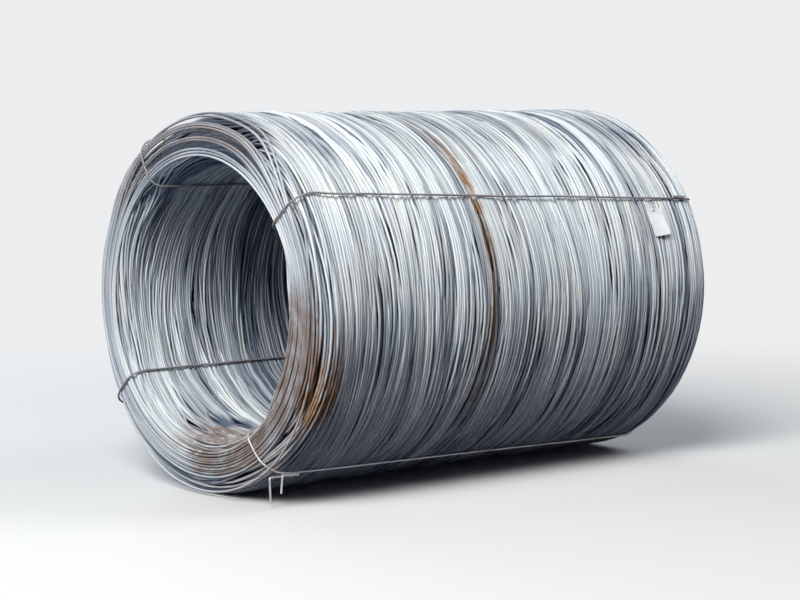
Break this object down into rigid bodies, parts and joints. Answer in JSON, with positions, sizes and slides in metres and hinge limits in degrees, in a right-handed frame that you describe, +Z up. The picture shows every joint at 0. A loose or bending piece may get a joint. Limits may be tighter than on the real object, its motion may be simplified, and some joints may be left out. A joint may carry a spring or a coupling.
{
  "type": "coil of wire rod",
  "caption": "Coil of steel wire rod lying on its side, open through the eye, held together by binding wires and carrying a blank tag.",
  "frame": {"origin": "on the floor under the middle of the coil", "axes": "+X along the eye from the near end to the far end, +Z up"},
  "size_m": [1.7395, 1.1998, 1.1998],
  "materials": {
    "rod_steel": "hot-rolled rod with grey mill scale, some rust",
    "tie_steel": "dull grey binding wire",
    "tag_sheet": "plain white sheet"
  },
  "bodies": {
    "root": {"rod_coil": "rod_steel", "binding_tie_1": "tie_steel", "binding_tie_2": "tie_steel", "binding_tie_3": "tie_steel", "binding_tie_4": "tie_steel", "mill_tag": "tag_sheet"}
  },
  "joints": []
}
